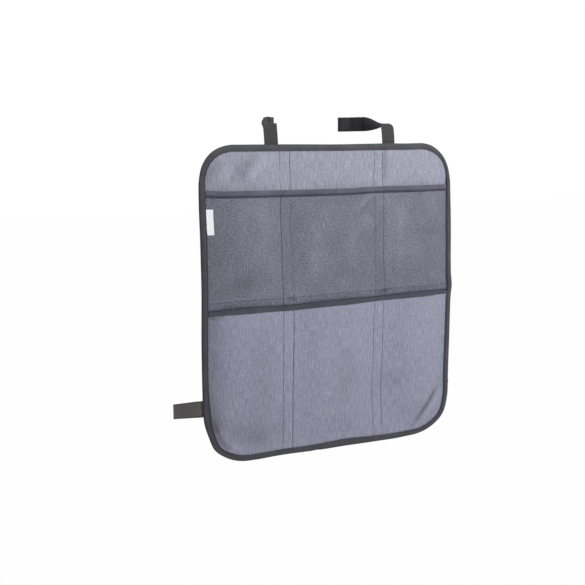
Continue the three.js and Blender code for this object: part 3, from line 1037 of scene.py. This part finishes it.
def loopMoves():
    gap = (loop["thick"] + mat["gap"]) / 2
    opening = math.radians(loop["opening"])
    eased = gap + loop["easing"] * (1 - math.cos(opening))
    flank = (loop["radius"] * math.cos(opening) - eased) / math.sin(opening)
    easing = loop["easing"] * opening
    bend = loop["bend"] * math.radians(90 - loop["standLean"])
    out = loop["turn"] - loop["opening"]
    back = out + 180 + 2 * loop["opening"]
    return [
        (loop["stand"], loop["standLean"], 0, 0),
        (bend, 90, loop["turn"], 0),
        (loop["twist"], 90, loop["turn"], 90),
        (loop["sewn"], 90, loop["turn"], 90),
        (easing, 90, out, 90),
        (flank, 90, out, 90),
        (loop["radius"] * (math.pi + 2 * opening), 90, back, 90),
        (flank, 90, back, 90),
        (easing, 90, loop["turn"] + 180, 90),
        (loop["sewn"], 90, loop["turn"] + 180, 90),
    ]


def loopPath(side):
    x = side * loop["offset"]
    path = []
    for k in range(11):
        z = mat["halfHeight"] - loop["tail"] * (1 - k / 10)
        path.append((Vector((x, behindBinding(x, z, loop["thick"]), z)), Vector((1, 0, 0))))
    came = (loop["rootLean"], 0, 0)
    for length, *goes in loopMoves():
        change = max(abs(a - b) for a, b in zip(goes, came))
        steps = max(math.ceil(change / 5), math.ceil(length / 0.004))
        for k in range(steps):
            middle = (k + 0.5) / steps
            lean, turn, twist = [math.radians(a + (b - a) * middle) for a, b in zip(came, goes)]
            twist = math.radians(came[2] + (goes[2] - came[2]) * (k + 1) / steps)
            level = Vector((-side * math.sin(turn), math.cos(turn), 0))
            along = level * math.sin(lean) + Vector((0, 0, 1)) * math.cos(lean)
            flat = Vector((math.cos(turn), side * math.sin(turn), 0))
            across = Matrix.Rotation(twist, 3, along) @ flat
            path.append((path[-1][0] + along * (length / steps), across))
        came = goes
    return [(follow(point), across) for point, across in path]


def ribbonFrames(path):  # the middle, the ways across and along, and the way out of each step
    frames = []
    for k, (point, across) in enumerate(path):
        along = (path[min(k + 1, len(path) - 1)][0] - path[max(k - 1, 0)][0]).normalized()
        across = (across - along * across.dot(along)).normalized()
        frames.append((point, across, along, along.cross(across)))
    return frames


def pathLengths(frames):  # how far along the ribbon each step is
    lengths = [0.0]
    for (here, *_), (after, *_) in zip(frames, frames[1:]):
        lengths.append(lengths[-1] + (after - here).length)
    return lengths


def ribbon(name, frames, wide, thick, camber, cloth, node):
    lengths = pathLengths(frames)

    def point(i, j):
        middle, across, along, out = frames[j]
        share = i / 4 - 1
        return middle + across * (share * wide / 2) + out * (camber * (1 - share ** 2))

    piece = shapeSheet(
        name, 8, len(frames) - 1, point, lambda i, j: ((i / 8 - 0.5) * wide, lengths[j]), thick, 0.0)
    modify(piece, "BEVEL", width=thick * 0.3, segments=2, limit_method="ANGLE", angle_limit=math.radians(50))
    dress(piece, cloth, cloth, node)
    print(name + ":", len(piece.data.polygons), "faces")
    return piece


def strap(name, side, node):
    return ribbon(name, loopFrames[side], loop["wide"], loop["thick"], loop["camber"], "webbing", node)


loopFrames = {side: ribbonFrames(loopPath(side)) for side in (-1, 1)}
strapLeft = strap("strapLeft", -1, "strap_left")
strapRight = strap("strapRight", 1, "strap_right")

band = {
    "thick": 0.0012, "rise": 0.100, "tail": 0.030, "edge": 0.0055, "deep": 0.122,
    "corner": 0.038, "fall": 0.275, "spread": 0.055, "sag": 0.012,
    "tailSteps": 8, "turnSteps": 12, "sideSteps": 16, "rearSteps": 40,
}


def bandPath():  # the right half from the mat to the middle of the rear run, then its mirror image
    level = band["rise"] - mat["halfHeight"]
    half = []

    def add(x, y, across=(0, 0, 1)):
        half.append((Vector((x, y, level)), Vector(across)))

    def turn(overX, overY, radius, start):
        for k in range(1, band["turnSteps"] + 1):
            angle = math.radians(start + 90 * k / band["turnSteps"])
            add(overX + radius * math.cos(angle), overY + radius * math.sin(angle))

    for k in range(band["tailSteps"] + 1):
        x = mat["halfWidth"] - band["tail"] * (1 - k / band["tailSteps"])
        lean = rearFace(x, level + elastic["wide"] / 2) - rearFace(x, level - elastic["wide"] / 2)
        add(x, behindBinding(x, level, band["thick"]), (0, lean, elastic["wide"]))
    edge = half[-1][0].copy()
    turn(edge.x, edge.y + band["edge"], band["edge"], -90)
    outside = edge.x + band["edge"]
    start, end = edge.y + band["edge"], band["deep"] - band["corner"]
    for k in range(1, band["sideSteps"] + 1):
        add(outside, start + (end - start) * k / band["sideSteps"])
    turn(outside - band["corner"], end, band["corner"], 0)
    for k in range(1, band["rearSteps"] + 1):
        add((outside - band["corner"]) * (1 - k / band["rearSteps"]), band["deep"])
    for point, across in half[band["tailSteps"] + 1:]:
        point.z -= band["fall"] * (point.y - edge.y)
        point.z -= band["sag"] * (1 - ramp(point.x, 0.0, edge.x) ** 2) * ease(point.y, 0.060, band["deep"])
        point.x *= 1 + band["spread"] * ease(point.y, 0.012, 0.090)
    mirror = Matrix.Scale(-1, 3, (1, 0, 0))
    left = [(mirror @ point, mirror @ across) for point, across in half[:-1]]
    return [(follow(point), across) for point, across in half + left[::-1]]


bandFrames = ribbonFrames(bandPath())
ribbon("elasticBand", bandFrames, elastic["wide"], band["thick"], 0.0, "elastic", "elastic_band")


# Stitches

stitch = {"long": 0.0027, "pitch": 0.0032, "thick": 0.00066, "high": 0.00044, "lift": 0.00008, "sunk": 0.0004}


def stitchRow(name, runs):  # each run is a list of (middle, direction along, way out)
    bpy.ops.object.select_all(action="DESELECT")
    bpy.ops.mesh.primitive_uv_sphere_add(segments=6, ring_count=4, radius=0.5)
    one = bpy.context.object
    sizes = (stitch["thick"], stitch["high"], stitch["long"])
    shape = [Vector(size * part for size, part in zip(sizes, v.co)) for v in one.data.vertices]
    faces = [tuple(reversed(p.vertices)) for p in one.data.polygons]
    bpy.data.objects.remove(one)
    points, sides = [], []
    for middle, along, out in [spot for run in runs for spot in run]:
        along = along.normalized()
        out = (out - along * out.dot(along)).normalized()
        across = out.cross(along)
        first = len(points)
        points += [middle + along * p.z + across * p.x + out * p.y for p in shape]
        sides += [tuple(first + k for k in face) for face in faces]
    mesh = bpy.data.meshes.new(name)
    mesh.from_pydata(points, [], sides)
    row = bpy.data.objects.new(name, mesh)
    bpy.context.scene.collection.objects.link(row)
    editMesh(row, lambda: bpy.ops.mesh.normals_make_consistent(inside=False))
    dress(row, "thread", "binding_tape", angle=60)
    print(name + ":", len(sides) // len(faces), "stitches")
    return row


def runAlong(pointAt, start, end, side=1.0):
    count = max(round(abs(end - start) / stitch["pitch"]), 1)
    run = []
    for k in range(count):
        here = start + (end - start) * (k + 0.5) / count
        little = (end - start) * 0.2 / count
        before, after = pointAt(here - little), pointAt(here + little)
        run.append(((before + after) / 2, after - before, Vector((0, -side, 0))))
    return run


def tapeFront(clothThick):  # a mouth tape's front, from its sheet's rear
    return 2 * (fold["thick"] + mat["gap"]) + clothThick - fold["behind"]


def frontDepth(x, z):  # how far forward the outermost layer is on a seam
    if z > mat["meshMouth"]:
        return mat["panelThick"] - panel["groove"]
    if z > mat["meshMouth"] - tape["wide"]:
        return meshRear(x, z) + tapeFront(meshSheet["thick"]) - stitch["sunk"]
    if z > mat["lowerMouth"] + mat["gap"]:
        hem = meshSheet["hemStep"] if z < mat["hemTop"] else 0.0
        return meshRear(x, z) + meshSheet["thick"] + hem - meshSheet["groove"]
    if z > mat["lowerMouth"] - tape["wide"]:
        return lowerRear(x, z) + tapeFront(lowerSheet["thick"]) - stitch["sunk"]
    return lowerRear(x, z) + lowerSheet["thick"] - lowerSheet["groove"]


def seamPoint(x):
    def pointAt(z):
        drop = lowerDip(x, z) if z < mat["lowerMouth"] else hemDrop(z)
        return place(x, z, frontDepth(x, z) + stitch["lift"]) - Vector((0, 0, drop))

    return pointAt


# Down the panel, the net, its hem and the lower cloth, and over the two mouth tapes
seamSpans = [(0.2535, 0.1925), (0.1790, 0.0118), (0.0108, 0.0022), (-0.0105, -0.2530)]
seamSpans += [(0.1900, 0.1805), (0.0000, -0.0095)]
seamRuns, rearRuns = [], []
for seam in sewnLines:
    seamRuns += [runAlong(seamPoint(seam), start, end) for start, end in seamSpans]
    rearRuns.append(runAlong(lambda z: place(seam, z, -stitch["lift"]), 0.2535, -0.2530, side=-1.0))
stitchRow("seamStitches", seamRuns)
rearSeamStitches = stitchRow("rearSeamStitches", rearRuns)


def borderRun(side):
    run = []
    total = outlineLengths[-1]
    count = round(total / stitch["pitch"])
    spot = 0
    for n in range(count):
        here = total * (n + 0.5) / count
        while outlineLengths[spot + 1] < here:
            spot += 1
        share = (here - outlineLengths[spot]) / (outlineLengths[spot + 1] - outlineLengths[spot])
        ends = []
        for k in (spot, spot + 1):
            x, z = outline[k % len(outline)][:2]
            face = layersDepth(z) if side > 0 else 0.0
            inward = tape["wide"] * tapeShare(x, z) - fold["stitchIn"]
            ends.append(edgePoint(k, inward, face + side * (mat["gap"] + fold["thick"] - 0.0002)))
        run.append((ends[0].lerp(ends[1], share), ends[1] - ends[0], Vector((0, -side, 0))))
    return run


bindingStitches = stitchRow("bindingStitches", [borderRun(1.0), borderRun(-1.0)])


def mouthPoint(mouth, rearAt, clothThick, dipAt):
    z = mouth - tape["wide"] + fold["stitchIn"]
    front = tapeFront(clothThick) - 0.00026

    def pointAt(x):
        dent = pinch(x, fold["seamDeep"], fold["seamReach"])
        return place(x, z, rearAt(x, z) + front - dent) - Vector((0, 0, dipAt(x, z)))

    return pointAt


def hemPoint(x):
    z = meshSheet["hemSeam"]
    front = meshSheet["thick"] + meshSheet["hemStep"] - 0.0002
    return place(x, z, meshRear(x, z) + front - pinch(x, meshSheet["groove"]))


mouthPoints = [
    mouthPoint(mat["meshMouth"], meshRear, meshSheet["thick"], noDip),
    mouthPoint(mat["lowerMouth"], lowerRear, lowerSheet["thick"], lowerDip),
    hemPoint,
]
stitchRow("mouthStitches", [runAlong(pointAt, -0.2325, 0.2325) for pointAt in mouthPoints])


def boxRun(frames, wide, side, first, last, lift, crossed):  # a stitched box on one face of a ribbon
    lengths = pathLengths(frames)

    def spot(length, off):
        k = 0
        while k < len(lengths) - 2 and lengths[k + 1] < length:
            k += 1
        share = (length - lengths[k]) / (lengths[k + 1] - lengths[k])
        middle = frames[k][0].lerp(frames[k + 1][0], share)
        return middle + frames[k][1] * off + frames[k][3] * (side * lift), frames[k][3] * side

    corners = [(first, -wide), (first, wide), (last, wide), (last, -wide)]
    lines = [(corners[k], corners[(k + 1) % 4]) for k in range(4)]
    if crossed:
        lines += [(corners[0], corners[2]), (corners[1], corners[3])]
    run = []
    for (fromLength, fromOff), (toLength, toOff) in lines:
        count = max(round(math.hypot(toLength - fromLength, toOff - fromOff) / stitch["pitch"]), 1)
        for n in range(count):
            share = (n + 0.5) / count
            at = [fromLength + (toLength - fromLength) * share, fromOff + (toOff - fromOff) * share]
            step = [(toLength - fromLength) * 0.1 / count, (toOff - fromOff) * 0.1 / count]
            middle, out = spot(*at)
            ahead, _ = spot(at[0] + step[0], at[1] + step[1])
            if (ahead - middle).length > 1e-7:
                run.append((middle, ahead - middle, out))
    return run


box = {
    "in": 0.003, "strapOut": 0.019, "bandOut": 0.020, "rootShort": 0.008,
    "strapHalf": 0.0098, "bandHalf": 0.0100,
}
strapRuns = []
for frames in loopFrames.values():
    total = pathLengths(frames)[-1]
    bendLong = loop["bend"] * math.radians(90 - loop["standLean"])
    sewnStart = loop["tail"] + loop["stand"] + bendLong + loop["twist"]
    lift = loop["thick"] / 2 + loop["camber"]
    spans = [
        (box["in"], loop["tail"] - box["rootShort"], True),
        (sewnStart + box["in"], sewnStart + box["strapOut"], False),
        (total - box["strapOut"], total - box["in"], False),
    ]
    for face in (-1, 1):
        for first, last, crossed in spans:
            strapRuns.append(boxRun(frames, box["strapHalf"], face, first, last, lift, crossed))
total = pathLengths(bandFrames)[-1]
lift = band["thick"] / 2 + stitch["lift"]
for first, last in ((box["in"], box["bandOut"]), (total - box["bandOut"], total - box["in"])):
    strapRuns += [boxRun(bandFrames, box["bandHalf"], face, first, last, lift, True) for face in (-1, 1)]
stitchRow("strapStitches", strapRuns)


# Cloth facts

def sheetArea(highAt):  # of a sheet that ends at the mat's rounded foot
    area = 0.0
    for here, after in zip(sheetColumns, sheetColumns[1:]):
        middle = (here + after) / 2
        area += (after - here) * (highAt(middle) - bottomEdge(middle, mat["inset"]))
    return area


panelArea = sheetArea(lambda x: topEdge(x, mat["inset"]))
lowerArea = sheetArea(lambda x: mat["lowerMouth"] - mat["inset"])


# Floor, light and camera

def paleFloor():
    paint = Paint("paleFloor")
    rays = paint.node("ShaderNodeLightPath", {}, {}, "Is Camera Ray")
    shiny = paint.node("ShaderNodeLightPath", {}, {}, "Is Glossy Ray")
    seen = paint.node("ShaderNodeMath", {"operation": "MAXIMUM"}, {0: rays, 1: shiny})
    soft = paint.node("ShaderNodeBsdfDiffuse", {}, {"Color": tone(0.86, 0.86, 0.86)})
    white = paint.node("ShaderNodeEmission", {}, {"Color": tone(1, 1, 1), "Strength": 1.0})
    shader = paint.node("ShaderNodeMixShader", {}, {0: seen * 0.985, 1: soft, 2: white})
    paint.node("ShaderNodeOutputMaterial", {}, {"Surface": shader})
    return paint.owner


bpy.ops.object.select_all(action="DESELECT")
bpy.ops.mesh.primitive_plane_add(size=24, location=(0, 0, -0.72))
floor = bpy.context.object
floor.name = "floor"
floor.data.materials.append(paleFloor())

light = {"ambient": 0.30, "keyPlace": (0.62, -1.30, 1.15), "keySize": 0.8, "keyPower": 30.0,
         "fillPlace": (-1.5, -1.2, 0.3), "fillSize": 1.6, "fillPower": 2.0}


def studio():  # soft light all round, and plain white where the camera looks past the mat
    sky = Paint("studio", bpy.data.worlds)
    lit = sky.node("ShaderNodeBackground", {}, {"Color": tone(0.97, 0.98, 1.0), "Strength": light["ambient"]})
    white = sky.node("ShaderNodeBackground", {}, {"Color": tone(1, 1, 1), "Strength": 1.0})
    looked = sky.node("ShaderNodeLightPath", {}, {}, "Is Camera Ray")
    both = sky.node("ShaderNodeMixShader", {}, {0: looked, 1: lit, 2: white})
    sky.node("ShaderNodeOutputWorld", {}, {"Surface": both})
    return sky.owner


bpy.context.scene.world = studio()


def addLamp(name, spot, size, power):
    bpy.ops.object.select_all(action="DESELECT")
    bpy.ops.object.light_add(type="AREA", location=spot)
    lamp = bpy.context.object
    lamp.name = name
    lamp.data.size = size
    lamp.data.energy = power
    lamp.rotation_euler = (-Vector(spot)).to_track_quat("-Z", "Y").to_euler()


addLamp("keyLight", light["keyPlace"], light["keySize"], light["keyPower"])
addLamp("fillLight", light["fillPlace"], light["fillSize"], light["fillPower"])

camera = {
    "place": (-0.8352, -1.4933, 0.2654),
    "right": (0.89150548, -0.45291833, -0.00910898),
    "up": (0.07456947, 0.12688667, 0.98911029),
    "ahead": (0.44683037, 0.88247649, -0.14689404),
    "lens": 61.6,
}
bpy.ops.object.select_all(action="DESELECT")
bpy.ops.object.camera_add(location=camera["place"])
eye = bpy.context.object
eye.name = "camera"
eye.data.sensor_width = 36.0
eye.data.lens = camera["lens"]
eye.data.clip_end = 50.0
turned = Matrix((camera["right"], camera["up"], -Vector(camera["ahead"]))).transposed()
eye.rotation_euler = turned.to_euler()
bpy.context.scene.camera = eye
bpy.context.scene.view_settings.view_transform = "Standard"
print("light and camera set")
